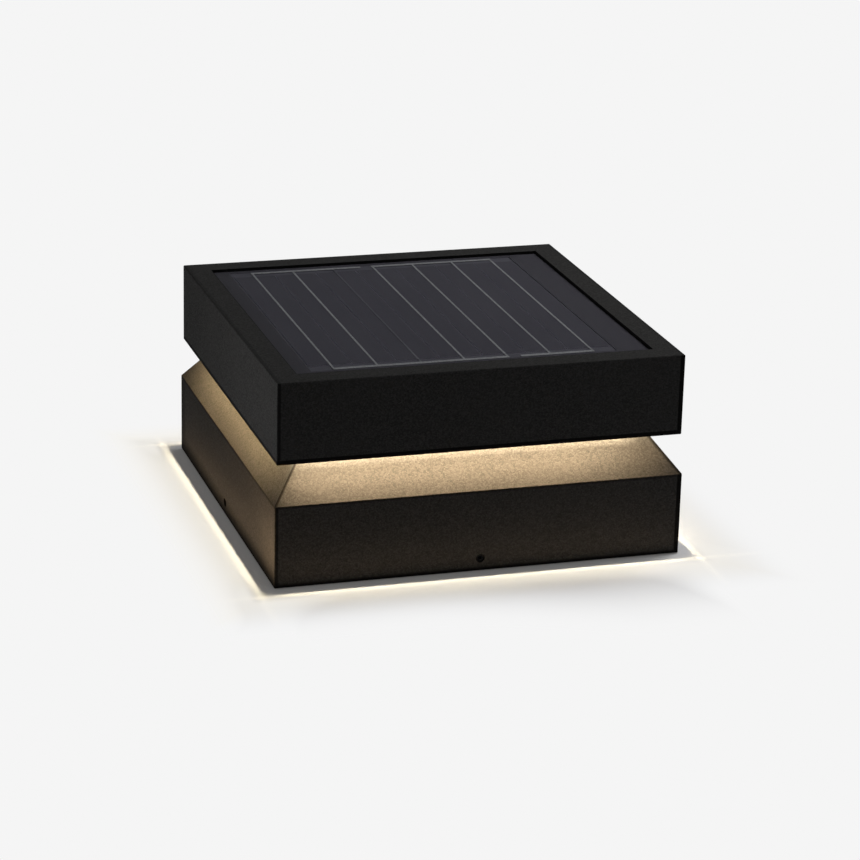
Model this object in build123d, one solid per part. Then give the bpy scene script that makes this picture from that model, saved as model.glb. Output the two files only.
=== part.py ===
from build123d import *
import os
from math import hypot

# Solar post light: a square cap with a sunk solar panel over a square base, with a light slot between.
# Millimetres, +Z up. The origin is the middle of the face that rests on the post. The front is towards -Y.

# Outer body
body_width = 250.0
base_side_height = 50.0
slot_height = 25.0
cap_height = 50.0
base_overhang = 1.3
foot_gap = 0.2
shoulder_run = 18.8
edge_round = 0.8

# Base housing
base_wall = 2.5
deck_thickness = 3.0
post_gasket_thickness = 1.0
deck_gasket_thickness = 1.0
deck_gasket_inset = 4.0
seat_size = 22.0
seat_height = 8.0

# Mounting plate
plate_thickness = 3.0
plate_gap = 5.0
plate_corner_round = 6.0
lip_length = 60.0
lip_thickness = 3.0
lip_height = 13.0
anchor_spacing = 150.0
anchor_hole_radius = 3.25
gasket_hole_clearance = 1.0

# Set screws low in each side
set_screw_radius = 2.5
set_screw_height = 7.0
set_screw_recess = 1.2
set_screw_key = 2.5
set_screw_key_depth = 2.5
set_screw_boss_wall = 3.0
set_screw_boss_gap = 1.0
set_screw_tip_gap = 0.3

# Screws that hold the base to the cap's tray
deck_screw_inset = 22.0
deck_screw_radius = 2.5
deck_screw_head_radius = 4.5
deck_screw_head_height = 3.0
deck_screw_key = 3.0
deck_screw_grip = 6.0
tray_nut_size = 8.0
tray_nut_height = 5.0

# Clearances shared by all screws
thread_clearance = 0.1
screw_hole_clearance = 0.3
key_depth_share = 0.6

# Cap housing
cap_wall = 3.0
rim_width = 15.2
recess_depth = 1.2
ledge_width = 8.0
ledge_thickness = 3.0
pillar_radius = 5.0
pillar_inset = 7.5
pillar_hole_margin = 2.0

# Cap tray and its screws
tray_thickness = 3.0
tray_clearance = 0.4
cap_screw_radius = 2.0
cap_screw_head_radius = 4.0
cap_screw_head_height = 2.2
cap_screw_key = 2.5
cap_screw_grip = 10.0

# Light chamber round the edge of the cap
window_width = 10.0
window_border = 2.0
window_end_gap = 9.5
diffuser_flange = 1.0
diffuser_flange_thickness = 1.5
diffuser_clearance = 0.2
chamber_height = 7.0
chamber_margin = 1.6
carrier_thickness = 3.0
carrier_rib = 3.0
carrier_seal_thickness = 1.0
led_board_width = 10.0
led_board_thickness = 1.6
led_board_end_gap = 6.5
led_chip_length = 3.5
led_chip_width = 2.8
led_chip_height = 0.8
led_chip_round = 0.3
led_pitch = 14.0
led_end_margin = 8.0

# Solar panel
glass_thickness = 0.6
glass_bevel = 0.2
backsheet_thickness = 1.2
panel_clearance = 0.5
solar_seal_thickness = 1.0
solar_seal_width = 6.0
cell_count = 7
cell_gap = 0.4
cell_thickness = 0.3
cell_margin_left = 11.3
cell_margin_right = 20.3
cell_margin_front = 17.0
cell_margin_back = 13.3
ribbon_width = 1.3
ribbon_thickness = 0.2
bus_width = 3.4
bus_offset = 7.0
bus_gap = 8.0
bus_split_front = 5
bus_split_back = 4
pocket_margin = 1.0
junction_length = 44.0
junction_width = 26.0
junction_height = 9.0
junction_edge_gap = 30.8

# Battery
battery_radius = 13.1
battery_length = 65.2
battery_edge_round = 1.0
battery_spacing = 1.5
battery_clearance = 0.3
contact_thickness = 0.8
contact_width = 14.0
contact_height = 12.0
holder_wall = 2.0
holder_floor = 1.5
holder_height = 20.0
centre_gap = 8.0

# Controller board
board_length = 70.0
board_width = 56.0
board_thickness = 1.6
spacer_height = 6.0
spacer_radius = 3.0
spacer_inset = 4.5
board_screw_radius = 1.5
board_screw_head_radius = 2.8
board_screw_head_height = 1.8
board_screw_key = 1.8
board_screw_grip = 4.0
inductor_radius = 8.0
inductor_bore_radius = 3.5
inductor_height = 9.0
capacitor_radius = 5.0
capacitor_height = 14.0
capacitor_pitch = 12.0
chip_length = 9.0
chip_width = 7.0
chip_height = 1.6
chip_pitch = 13.0
chip_gap = 0.5
connector_length = 9.0
connector_depth = 6.0
connector_height = 6.0

# Power switch under the cap, reached through the deck
switch_y = -58.0
barrel_radius = 8.0
barrel_length = 24.0
flange_radius = 10.0
flange_thickness = 2.5
flange_floor = 1.5
switch_seal_thickness = 1.0
switch_seal_width = 1.8
switch_nut_size = 22.0
switch_nut_height = 3.0
barrel_clearance = 0.2
aperture_clearance = 2.0
button_radius = 4.7
button_proud = 3.0
button_collar_radius = 6.0
button_collar_height = 2.5
button_clearance = 0.3
button_travel = 2.0
button_dish_depth = 0.6
button_edge_round = 0.4

# Leads inside the cap
lead_radius = 1.5
lead_bend = 6.0
lead_rise = 9.0
lead_hole_clearance = 0.5
jumper_radius = 0.8
jumper_run = 2.5
jumper_bend = 2.0

# Levels and half widths that follow from the sizes above
half = body_width / 2
base_half = half + base_overhang
base_bottom = post_gasket_thickness
shoulder_z = base_bottom + base_side_height
cap_bottom = shoulder_z + slot_height
cap_top = cap_bottom + cap_height
deck_top = cap_bottom - deck_gasket_thickness
deck_bottom = deck_top - deck_thickness
deck_half = base_half - shoulder_run
plate_half = base_half - base_wall - plate_gap
plate_top = base_bottom + plate_thickness
set_screw_z = base_bottom + set_screw_height
deck_screw_place = deck_half - deck_screw_inset
cap_inner_half = half - cap_wall
tray_half = cap_inner_half - tray_clearance
tray_top = cap_bottom + tray_thickness
pillar_place = cap_inner_half - pillar_inset
carrier_bottom = tray_top + chamber_height
carrier_top = carrier_bottom + carrier_thickness
window_outer = tray_half - window_border
window_middle = window_outer - window_width / 2
window_half_length = pillar_place - pillar_radius - window_end_gap
rib_outer = window_outer - window_width - chamber_margin
rib_inner = rib_outer - carrier_rib
led_board_half_length = pillar_place - pillar_radius - led_board_end_gap
led_board_bottom = carrier_bottom - led_board_thickness
recess_half = half - rim_width
panel_half = recess_half - panel_clearance
glass_top = cap_top - recess_depth
glass_bottom = glass_top - glass_thickness
backsheet_bottom = glass_bottom - backsheet_thickness
ledge_top = backsheet_bottom - solar_seal_thickness
ledge_bottom = ledge_top - ledge_thickness
ledge_half = recess_half - ledge_width
junction_y = ledge_half - junction_edge_gap - junction_width / 2
board_bottom = tray_top + spacer_height
board_top = board_bottom + board_thickness
board_middle_x = centre_gap / 2 + board_length / 2
lead_z = board_top + connector_height / 2
aperture_radius = flange_radius + aperture_clearance
flange_top = cap_bottom - switch_seal_thickness
flange_bottom = flange_top - flange_thickness

SIDES = {"front": 0, "right": 90, "back": 180, "left": 270}


def slab(x_size, y_size, z_low, z_high, x=0.0, y=0.0):
    """A box between two levels, centred on x and y."""
    body = Box(x_size, y_size, z_high - z_low, align=(Align.CENTER, Align.CENTER, Align.MIN))
    return Pos(x, y, z_low) * body


def rod(radius, z_low, z_high, x=0.0, y=0.0):
    """An upright cylinder between two levels."""
    body = Cylinder(radius, z_high - z_low, align=(Align.CENTER, Align.CENTER, Align.MIN))
    return Pos(x, y, z_low) * body


def square_frame(outer, inner, z_low, z_high):
    """A square ring given by its outer and inner half widths."""
    return slab(2 * outer, 2 * outer, z_low, z_high) - slab(2 * inner, 2 * inner, z_low, z_high)


def square_body(profile):
    """A body of square plan from half widths and levels, listed from the bottom up."""
    right = [(width, level) for width, level in profile]
    left = [(-width, level) for width, level in reversed(profile)]
    reach = max(width for width, level in profile)
    outline = make_face(Polyline(*right, *left, close=True))
    prism = extrude(Plane.XZ * outline, amount=reach, both=True)
    return prism & Rot(0, 0, 90) * prism


def corners(place):
    """The four corners of a square of the given half width."""
    return [(x, y) for x in (-place, place) for y in (-place, place)]


def turned(shape, angle):
    """A copy turned about the upright axis from the front to another side."""
    return Rot(0, 0, angle) * shape


def key_socket(size, depth):
    """A hexagonal key socket that opens downwards from level 0, size being across its flats."""
    return extrude(RegularPolygon(size / 2, 6, major_radius=False), amount=depth)


def pan_screw(radius, head_radius, head_height, length, key):
    """An upright screw with its shank above level 0 and its head below."""
    head = fillet(rod(head_radius, -head_height, 0).edges().sort_by(Axis.Z)[0], head_height / 3)
    socket = Pos(0, 0, -head_height) * key_socket(key, head_height * key_depth_share)
    return head + rod(radius, 0, length) - socket


def flat_screw(radius, head_radius, head_height, length, key):
    """An upright screw with a countersunk head whose flat face is at level 0."""
    cone = Cone(head_radius, radius, head_height, align=(Align.CENTER, Align.CENTER, Align.MIN))
    return cone + rod(radius, head_height, length) - key_socket(key, head_height * key_depth_share)


def lead(points, radius, bends):
    """A round lead along straight runs joined by arcs."""
    path = FilletPolyline(*points, radius=bends)
    start = Plane(origin=path @ 0, z_dir=path % 0)
    return sweep(start * Circle(radius), path=path)


def save(name, *shapes):
    """Write one node, of one solid or of a group of separate solids."""
    solids = [solid for shape in shapes for solid in shape.solids()]
    node = solids[0] if len(solids) == 1 else Compound(solids)
    node.label = name
    export_step(node, f"parts/{name}.step")


def make_post_gasket():
    sheet = slab(2 * plate_half, 2 * plate_half, 0, base_bottom)
    sheet = fillet(sheet.edges().filter_by(Axis.Z), plate_corner_round)
    for x, y in corners(anchor_spacing / 2):
        sheet -= rod(anchor_hole_radius + gasket_hole_clearance, 0, base_bottom, x, y)
    save("post_gasket", sheet)


def make_mounting_plate():
    plate = slab(2 * plate_half, 2 * plate_half, base_bottom, plate_top)
    plate = fillet(plate.edges().filter_by(Axis.Z), plate_corner_round)
    lip_y = lip_thickness / 2 - plate_half
    lip = slab(lip_length, lip_thickness, base_bottom, plate_top + lip_height, 0, lip_y)
    for angle in SIDES.values():
        plate += turned(lip, angle)
    for x, y in corners(anchor_spacing / 2):
        plate -= rod(anchor_hole_radius, base_bottom, plate_top, x, y)
    save("mounting_plate", plate)


def base_outer():
    """The outside of the base: upright sides and a sloped shoulder up to the deck."""
    body = square_body([(base_half, foot_gap), (base_half, shoulder_z), (deck_half, deck_top)])
    between = body.edges().filter_by_position(Axis.Z, foot_gap, deck_top, inclusive=(False, False))
    return fillet(between, edge_round)


def base_inner():
    """The hollow of the base, one wall thickness inside its sides, shoulder and deck."""
    rise = deck_top - shoulder_z
    lean = shoulder_run / rise
    slope_width = base_wall * hypot(shoulder_run, rise) / rise
    knee_z = shoulder_z - (slope_width - base_wall) / lean
    top_half = base_half - slope_width - (deck_bottom - shoulder_z) * lean
    side = base_half - base_wall
    return square_body([(side, foot_gap), (side, knee_z), (top_half, deck_bottom)])


def side_rod(radius, outer, inner):
    """A rod square to the front face, between two distances from the middle, on the set screw's axis."""
    body = Cylinder(radius, outer - inner, align=(Align.CENTER, Align.CENTER, Align.MIN))
    return Pos(0, -outer, set_screw_z) * Rot(-90, 0, 0) * body


def make_base_housing():
    body = base_outer() - base_inner()
    inner_half = base_half - base_wall
    seat_place = inner_half - seat_size / 2
    for x, y in corners(seat_place):
        body += slab(seat_size, seat_size, plate_top, plate_top + seat_height, x, y)
    boss = side_rod(set_screw_radius + set_screw_boss_wall, inner_half, plate_half + set_screw_boss_gap)
    bore = side_rod(set_screw_radius + thread_clearance, base_half, plate_half)
    for angle in SIDES.values():
        body += turned(boss, angle)
        body -= turned(bore, angle)
    for x, y in corners(deck_screw_place):
        body -= rod(deck_screw_radius + screw_hole_clearance, deck_bottom, deck_top, x, y)
    body -= rod(aperture_radius, deck_bottom, deck_top, 0, switch_y)
    save("base_housing", body)


def make_set_screws():
    outer = base_half - set_screw_recess
    screw = side_rod(set_screw_radius, outer, plate_half + set_screw_tip_gap)
    screw -= Pos(0, -outer, set_screw_z) * Rot(-90, 0, 0) * key_socket(set_screw_key, set_screw_key_depth)
    save("set_screws", *[turned(screw, angle) for angle in SIDES.values()])


def make_deck_gasket():
    width = 2 * (deck_half - deck_gasket_inset)
    sheet = slab(width, width, deck_top, cap_bottom)
    for x, y in corners(deck_screw_place):
        sheet -= rod(deck_screw_radius + screw_hole_clearance, deck_top, cap_bottom, x, y)
    sheet -= rod(aperture_radius, deck_top, cap_bottom, 0, switch_y)
    save("deck_gasket", sheet)


def make_deck_screws():
    length = tray_top + deck_screw_grip - deck_bottom
    key = deck_screw_key
    screw = pan_screw(deck_screw_radius, deck_screw_head_radius, deck_screw_head_height, length, key)
    save("deck_screws", *[Pos(x, y, deck_bottom) * screw for x, y in corners(deck_screw_place)])


def make_cap_housing():
    rim_inside = cap_top - cap_wall
    body = slab(2 * half, 2 * half, cap_bottom, cap_top)
    body = fillet(body.edges(), edge_round)
    body -= slab(2 * cap_inner_half, 2 * cap_inner_half, cap_bottom, ledge_bottom)
    body -= square_frame(cap_inner_half, recess_half + cap_wall, ledge_bottom, rim_inside)
    body -= slab(2 * recess_half, 2 * recess_half, ledge_top, cap_top)
    body -= slab(2 * ledge_half, 2 * ledge_half, ledge_bottom, ledge_top)
    for x, y in corners(pillar_place):
        body += rod(pillar_radius, carrier_top, rim_inside, x, y)
        hole_top = carrier_top + cap_screw_grip + pillar_hole_margin
        body -= rod(cap_screw_radius + thread_clearance, carrier_top, hole_top, x, y)
    save("cap_housing", body)


def make_cap_tray():
    plate = slab(2 * tray_half, 2 * tray_half, cap_bottom, tray_top)
    window = slab(2 * window_half_length, window_width, cap_bottom, tray_top, 0, -window_middle)
    for angle in SIDES.values():
        plate -= turned(window, angle)
    for x, y in corners(deck_screw_place):
        plate -= rod(deck_screw_radius + screw_hole_clearance, cap_bottom, tray_top, x, y)
    sink = flat_screw_room()
    for x, y in corners(pillar_place):
        plate -= Pos(x, y, cap_bottom) * sink
    plate -= rod(barrel_radius + barrel_clearance, cap_bottom, tray_top, 0, switch_y)
    save("cap_tray", plate)


def hex_nut(size, height, bore_radius):
    """A hexagonal nut that stands on the tray, size being across its flats."""
    nut = extrude(RegularPolygon(size / 2, 6, major_radius=False), amount=height)
    return Pos(0, 0, tray_top) * (nut - rod(bore_radius, 0, height))


def make_tray_nuts():
    nut = hex_nut(tray_nut_size, tray_nut_height, deck_screw_radius + thread_clearance)
    save("tray_nuts", *[Pos(x, y, 0) * nut for x, y in corners(deck_screw_place)])


def flat_screw_room():
    """The countersink and hole that a cap screw needs, opening at level 0."""
    room = cap_screw_radius + screw_hole_clearance
    mouth = cap_screw_head_radius + screw_hole_clearance
    cone = Cone(mouth, room, cap_screw_head_height, align=(Align.CENTER, Align.CENTER, Align.MIN))
    return cone + rod(room, cap_screw_head_height, carrier_top - cap_bottom)


def make_cap_screws():
    length = carrier_top + cap_screw_grip - cap_bottom
    key = cap_screw_key
    screw = flat_screw(cap_screw_radius, cap_screw_head_radius, cap_screw_head_height, length, key)
    save("cap_screws", *[Pos(x, y, cap_bottom) * screw for x, y in corners(pillar_place)])


def make_led_carrier():
    frame = square_frame(tray_half, rib_inner, carrier_bottom, carrier_top)
    frame += square_frame(rib_outer, rib_inner, tray_top + carrier_seal_thickness, carrier_bottom)
    for x, y in corners(pillar_place):
        frame += rod(pillar_radius, tray_top, carrier_bottom, x, y)
        frame -= rod(cap_screw_radius + screw_hole_clearance, tray_top, carrier_top, x, y)
    frame -= rod(lead_radius + lead_hole_clearance, carrier_bottom, carrier_top, window_middle, 0)
    save("led_carrier", frame)
    save("carrier_seal", square_frame(rib_outer, rib_inner, tray_top, tray_top + carrier_seal_thickness))


def make_lights():
    board_length_here = 2 * led_board_half_length
    board = slab(board_length_here, led_board_width, led_board_bottom, carrier_bottom, 0, -window_middle)
    chip_low = led_board_bottom - led_chip_height
    chip = slab(led_chip_length, led_chip_width, chip_low, led_board_bottom, 0, -window_middle)
    chip = fillet(chip.edges().filter_by(Axis.Z), led_chip_round)
    reach = led_board_half_length - led_end_margin
    steps = int(2 * reach / led_pitch)
    places = [(step - steps / 2) * led_pitch for step in range(steps + 1)]
    strip_length = 2 * (window_half_length - diffuser_clearance)
    strip_width = window_width - 2 * diffuser_clearance
    flange_length = 2 * (window_half_length + diffuser_flange)
    flange_width = window_width + 2 * diffuser_flange
    flange_high = tray_top + diffuser_flange_thickness
    strip = slab(strip_length, strip_width, cap_bottom + diffuser_clearance, tray_top, 0, -window_middle)
    strip += slab(flange_length, flange_width, tray_top, flange_high, 0, -window_middle)
    for side, angle in SIDES.items():
        save(f"led_board_{side}", turned(board, angle))
        save(f"led_chips_{side}", *[turned(Pos(place, 0, 0) * chip, angle) for place in places])
        save(f"diffuser_{side}", turned(strip, angle))


def make_jumpers():
    start = led_board_half_length
    level = carrier_bottom - led_board_thickness / 2
    route = [
        (start, -window_middle, level),
        (start + jumper_run, -window_middle, level),
        (window_middle, -start - jumper_run, level),
        (window_middle, -start, level),
    ]
    jumper = lead(route, jumper_radius, jumper_bend)
    save("led_jumpers", *[turned(jumper, SIDES[side]) for side in ("front", "right", "back")])


def make_solar_panel():
    seal_inner = panel_half - solar_seal_width
    save("solar_seal", square_frame(panel_half, seal_inner, ledge_top, backsheet_bottom))

    glass = slab(2 * panel_half, 2 * panel_half, glass_bottom, glass_top)
    save("solar_glass", chamfer(glass.faces().sort_by(Axis.Z)[-1].edges(), glass_bevel))

    field_width = 2 * panel_half - cell_margin_left - cell_margin_right
    field_middle = (cell_margin_left - cell_margin_right) / 2
    cell_pitch = field_width / cell_count
    cell_length = 2 * panel_half - cell_margin_front - cell_margin_back
    cell_y = (cell_margin_front - cell_margin_back) / 2
    bus_reach = cell_length / 2 + bus_offset
    pocket_floor = glass_bottom - cell_thickness - ribbon_thickness
    pocket_width = field_width + 2 * pocket_margin
    pocket_length = 2 * bus_reach + bus_width + 2 * pocket_margin
    sheet = slab(2 * panel_half, 2 * panel_half, backsheet_bottom, glass_bottom)
    sheet -= slab(pocket_width, pocket_length, pocket_floor, glass_bottom, field_middle, cell_y)
    save("solar_backsheet", sheet)

    ribbon_low = pocket_floor + cell_thickness
    first_line = field_middle - (cell_count - 1) / 2 * cell_pitch
    lines = [first_line + n * cell_pitch for n in range(cell_count)]
    cells = [slab(cell_pitch - cell_gap, cell_length, pocket_floor, ribbon_low, x, cell_y) for x in lines]
    save("solar_cells", *cells)
    ribbon_length = 2 * bus_reach - bus_width
    ribbons = [slab(ribbon_width, ribbon_length, ribbon_low, glass_bottom, x, cell_y) for x in lines]
    save("cell_ribbons", *ribbons)

    first = lines[0] - ribbon_width / 2
    last = lines[-1] + ribbon_width / 2
    front_line = first_line + (bus_split_front - 1) * cell_pitch
    back_line = first_line + (bus_split_back - 1) * cell_pitch
    spans = [
        (first, front_line + ribbon_width / 2, cell_y - bus_reach),
        (front_line + bus_gap, last, cell_y - bus_reach),
        (first, back_line - bus_gap, cell_y + bus_reach),
        (back_line - ribbon_width / 2, last, cell_y + bus_reach),
    ]
    buses = [slab(b - a, bus_width, ribbon_low, glass_bottom, (a + b) / 2, y) for a, b, y in spans]
    save("bus_ribbons", *buses)

    low = backsheet_bottom - junction_height
    save("junction_block", slab(junction_length, junction_width, low, backsheet_bottom, 0, junction_y))


def make_battery():
    inside_length = battery_length + 2 * (contact_thickness + battery_clearance)
    inside_width = 4 * battery_radius + battery_spacing + 2 * battery_clearance
    outside_length = inside_length + 2 * holder_wall
    middle_x = -centre_gap / 2 - outside_length / 2
    outside_width = inside_width + 2 * holder_wall
    floor_z = tray_top + holder_floor
    holder_top = tray_top + holder_height
    holder = slab(outside_length, outside_width, tray_top, holder_top, middle_x, 0)
    holder -= slab(inside_length, inside_width, floor_z, holder_top, middle_x, 0)
    save("battery_holder", holder)

    axis_z = floor_z + battery_clearance + battery_radius
    shift = battery_radius + battery_spacing / 2
    can = Cylinder(battery_radius, battery_length)
    can = fillet(can.edges().filter_by(GeomType.CIRCLE), battery_edge_round)
    for name, y in (("front", -shift), ("back", shift)):
        save(f"battery_cell_{name}", Pos(middle_x, y, axis_z) * Rot(0, 90, 0) * can)

    contact_low = axis_z - contact_height / 2
    contact_high = contact_low + contact_height
    contact_x = inside_length / 2 - contact_thickness / 2
    plates = []
    for x in (middle_x - contact_x, middle_x + contact_x):
        for y in (-shift, shift):
            plates.append(slab(contact_thickness, contact_width, contact_low, contact_high, x, y))
    save("battery_contacts", *plates)


def make_controller():
    places = []
    for x in (-1, 1):
        for y in (-1, 1):
            across = board_middle_x + x * (board_length / 2 - spacer_inset)
            places.append((across, y * (board_width / 2 - spacer_inset)))
    board = slab(board_length, board_width, board_bottom, board_top, board_middle_x, 0)
    spacer = rod(spacer_radius, tray_top, board_bottom)
    spacer -= rod(board_screw_radius + thread_clearance, tray_top, board_bottom)
    length = board_thickness + board_screw_grip
    key = board_screw_key
    screw = pan_screw(board_screw_radius, board_screw_head_radius, board_screw_head_height, length, key)
    screw = Pos(0, 0, board_top) * Rot(180, 0, 0) * screw
    for x, y in places:
        board -= rod(board_screw_radius + thread_clearance, board_bottom, board_top, x, y)
    save("controller_board", board)
    save("board_spacers", *[Pos(x, y, 0) * spacer for x, y in places])
    save("board_screws", *[Pos(x, y, 0) * screw for x, y in places])

    quarter = board_length / 4
    coil_high = board_top + inductor_height
    coil = rod(inductor_radius, board_top, coil_high) - rod(inductor_bore_radius, board_top, coil_high)
    save("inductor", Pos(board_middle_x + quarter / 2, 0, 0) * coil)
    cans = []
    for side in (-1, 1):
        can = rod(capacitor_radius, board_top, board_top + capacitor_height)
        can = fillet(can.edges().sort_by(Axis.Z)[-1], edge_round)
        cans.append(Pos(board_middle_x - quarter / 2, side * capacitor_pitch / 2, 0) * can)
    save("capacitors", *cans)
    chip_high = board_top + chip_height
    chip_y = capacitor_pitch / 2 + capacitor_radius + chip_gap + chip_width / 2
    chips = []
    for n in (-1, 0, 1):
        x = board_middle_x + n * chip_pitch
        chips.append(slab(chip_length, chip_width, board_top, chip_high, x, -chip_y))
    save("board_chips", *chips)

    high = board_top + connector_height
    end_x = board_length / 2 - connector_depth / 2
    end_y = board_width / 2 - connector_depth / 2
    connectors = [
        slab(connector_depth, connector_length, board_top, high, board_middle_x - end_x, 0),
        slab(connector_depth, connector_length, board_top, high, board_middle_x + end_x, 0),
        slab(connector_length, connector_depth, board_top, high, board_middle_x, -end_y),
        slab(connector_length, connector_depth, board_top, high, board_middle_x, end_y),
    ]
    save("board_connectors", *connectors)


def make_switch():
    chamber_low = flange_bottom + flange_floor
    chamber_high = chamber_low + button_collar_height + button_travel + button_clearance
    barrel_high = flange_top + barrel_length
    body = rod(flange_radius, flange_bottom, flange_top) + rod(barrel_radius, flange_top, barrel_high)
    body = fillet(body.edges().sort_by(Axis.Z)[0], edge_round)
    body -= rod(button_radius + button_clearance, flange_bottom, chamber_low)
    body -= rod(button_collar_radius + button_clearance, chamber_low, chamber_high)
    save("switch_body", Pos(0, switch_y, 0) * body)

    seal_inner = barrel_radius + barrel_clearance
    seal_outer = seal_inner + switch_seal_width
    seal = rod(seal_outer, flange_top, cap_bottom) - rod(seal_inner, flange_top, cap_bottom)
    save("switch_seal", Pos(0, switch_y, 0) * seal)
    nut = hex_nut(switch_nut_size, switch_nut_height, barrel_radius + thread_clearance)
    save("switch_nut", Pos(0, switch_y, 0) * nut)

    face = flange_bottom - button_proud
    button = rod(button_radius, face, chamber_low)
    button = fillet(button.edges().sort_by(Axis.Z)[0], button_edge_round)
    button += rod(button_collar_radius, chamber_low, chamber_low + button_collar_height)
    dish_half = button_radius - 2 * button_edge_round
    dish_radius = (dish_half ** 2 + button_dish_depth ** 2) / (2 * button_dish_depth)
    button -= Pos(0, 0, face + button_dish_depth - dish_radius) * Sphere(dish_radius)
    save("power_button", Pos(0, switch_y, 0) * button)


def make_leads():
    end_x = board_middle_x + board_length / 2
    end_y = board_width / 2
    panel_z = backsheet_bottom - junction_height / 2
    panel_route = [
        (junction_length / 2, junction_y, panel_z),
        (board_middle_x, junction_y, panel_z),
        (board_middle_x, junction_y, lead_z),
        (board_middle_x, end_y, lead_z),
    ]
    save("panel_lead", lead(panel_route, lead_radius, lead_bend))

    section = Plane.YZ.offset(-centre_gap / 2) * Pos(0, lead_z) * Circle(lead_radius)
    save("battery_lead", extrude(section, amount=centre_gap))

    over = carrier_top + lead_rise
    turn_x = (end_x + rib_inner) / 2
    light_route = [
        (end_x, 0, lead_z),
        (turn_x, 0, lead_z),
        (turn_x + lead_bend, 0, over),
        (window_middle, 0, over),
        (window_middle, 0, carrier_bottom),
    ]
    save("led_lead", lead(light_route, lead_radius, lead_bend / 2))

    barrel_high = flange_top + barrel_length
    switch_route = [
        (0, switch_y, barrel_high),
        (0, switch_y, barrel_high + lead_rise),
        (board_middle_x, switch_y, barrel_high + lead_rise),
        (board_middle_x, switch_y, lead_z),
        (board_middle_x, -end_y, lead_z),
    ]
    save("switch_lead", lead(switch_route, lead_radius, lead_bend))


os.makedirs("parts", exist_ok=True)
make_post_gasket()
make_mounting_plate()
make_base_housing()
make_set_screws()
make_deck_gasket()
make_deck_screws()
make_cap_housing()
make_cap_tray()
make_tray_nuts()
make_cap_screws()
make_led_carrier()
make_lights()
make_jumpers()
make_solar_panel()
make_battery()
make_controller()
make_switch()
make_leads()
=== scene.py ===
import math

import bmesh
import bpy
from bpy.props import FloatProperty, FloatVectorProperty, IntProperty, PointerProperty
from bpy.types import Operator, Panel, PropertyGroup
from mathutils import Matrix, Vector


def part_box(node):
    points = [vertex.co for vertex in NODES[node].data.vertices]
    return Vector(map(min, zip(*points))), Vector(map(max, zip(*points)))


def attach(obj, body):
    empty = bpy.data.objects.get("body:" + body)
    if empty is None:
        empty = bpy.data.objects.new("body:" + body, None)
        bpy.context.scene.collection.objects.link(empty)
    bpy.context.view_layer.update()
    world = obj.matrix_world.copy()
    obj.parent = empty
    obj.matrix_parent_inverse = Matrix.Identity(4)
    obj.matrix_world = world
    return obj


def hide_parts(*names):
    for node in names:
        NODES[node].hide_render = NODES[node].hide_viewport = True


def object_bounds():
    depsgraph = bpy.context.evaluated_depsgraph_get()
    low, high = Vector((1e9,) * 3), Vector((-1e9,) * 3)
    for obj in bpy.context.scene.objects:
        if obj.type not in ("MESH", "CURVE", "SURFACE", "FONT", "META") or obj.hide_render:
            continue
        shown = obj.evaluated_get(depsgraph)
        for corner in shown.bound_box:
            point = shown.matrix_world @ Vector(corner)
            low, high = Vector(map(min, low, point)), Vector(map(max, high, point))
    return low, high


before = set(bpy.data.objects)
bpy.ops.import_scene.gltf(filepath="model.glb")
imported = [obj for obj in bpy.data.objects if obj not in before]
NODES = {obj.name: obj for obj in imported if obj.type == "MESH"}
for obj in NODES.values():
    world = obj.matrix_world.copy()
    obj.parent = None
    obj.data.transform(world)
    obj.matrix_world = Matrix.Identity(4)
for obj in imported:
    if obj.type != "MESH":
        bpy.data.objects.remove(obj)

bl_info = {
    "name": "Solar Post Light",
    "version": (1, 0, 0),
    "blender": (4, 5, 0),
    "location": "View3D > Sidebar > Post Light",
    "description": "Finishes, screws, light rows, solar panel and stage of a square solar post light",
    "category": "Object",
}

MM = 0.001
TURN = 2 * math.pi
CAD_BOX = [list(corner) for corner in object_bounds()]
SIDES = ("front", "right", "back", "left")

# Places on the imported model; the shoulder starts above the base's upright sides
BASE_LOW, BASE_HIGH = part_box("base_housing")
CAP_LOW, CAP_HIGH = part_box("cap_housing")
CELL_LOW, CELL_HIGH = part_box("solar_cells")
SCREW_LOW, SCREW_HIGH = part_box("set_screws")
BASE_HALF = BASE_HIGH.x
CAP_HALF = CAP_HIGH.x
GLASS_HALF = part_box("solar_glass")[1].x
SHEET_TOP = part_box("solar_backsheet")[1].z
SCREW_LEVEL = (SCREW_LOW.z + SCREW_HIGH.z) / 2
SHOULDER_LEVEL = 51 * MM
WINDOW_LEVEL = CAP_LOW.z - 0.3 * MM

# Shine of the dull coat and of what lies under the cover glass, and the near-black colour of the painted
# shade on the coat: dark lines along edges and at the foot, and shadow in hollows and round holes
DULL_SHINE = 0.004
PAINTED_SHADE = (0.004, 0.0039, 0.0038)


def colour_setting(name, description, default):
    """A colour that a user can change."""
    return FloatVectorProperty(
        name=name, description=description, subtype="COLOR", default=default, min=0.0, max=1.0,
    )


def length_setting(name, description, default, low, high):
    """A length that a user can change, given here in millimetres."""
    return FloatProperty(
        name=name, description=description, unit="LENGTH",
        default=default * MM, min=low * MM, max=high * MM,
    )


def power_setting(name, description, default):
    """A lamp's power that a user can change."""
    return FloatProperty(
        name=name, description=description, unit="POWER", default=default, min=0.0, max=20.0,
    )


def number_setting(name, description, default, high=1.0):
    """A plain number from zero up that a user can change."""
    return FloatProperty(name=name, description=description, default=default, min=0.0, max=high)


def count_setting(name, description, default, high):
    """A count that a user can change."""
    return IntProperty(name=name, description=description, default=default, min=1, max=high)


def angle_setting(name, description, degrees):
    """An angle that a user can change."""
    return FloatProperty(name=name, description=description, subtype="ANGLE", default=math.radians(degrees))


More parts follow.
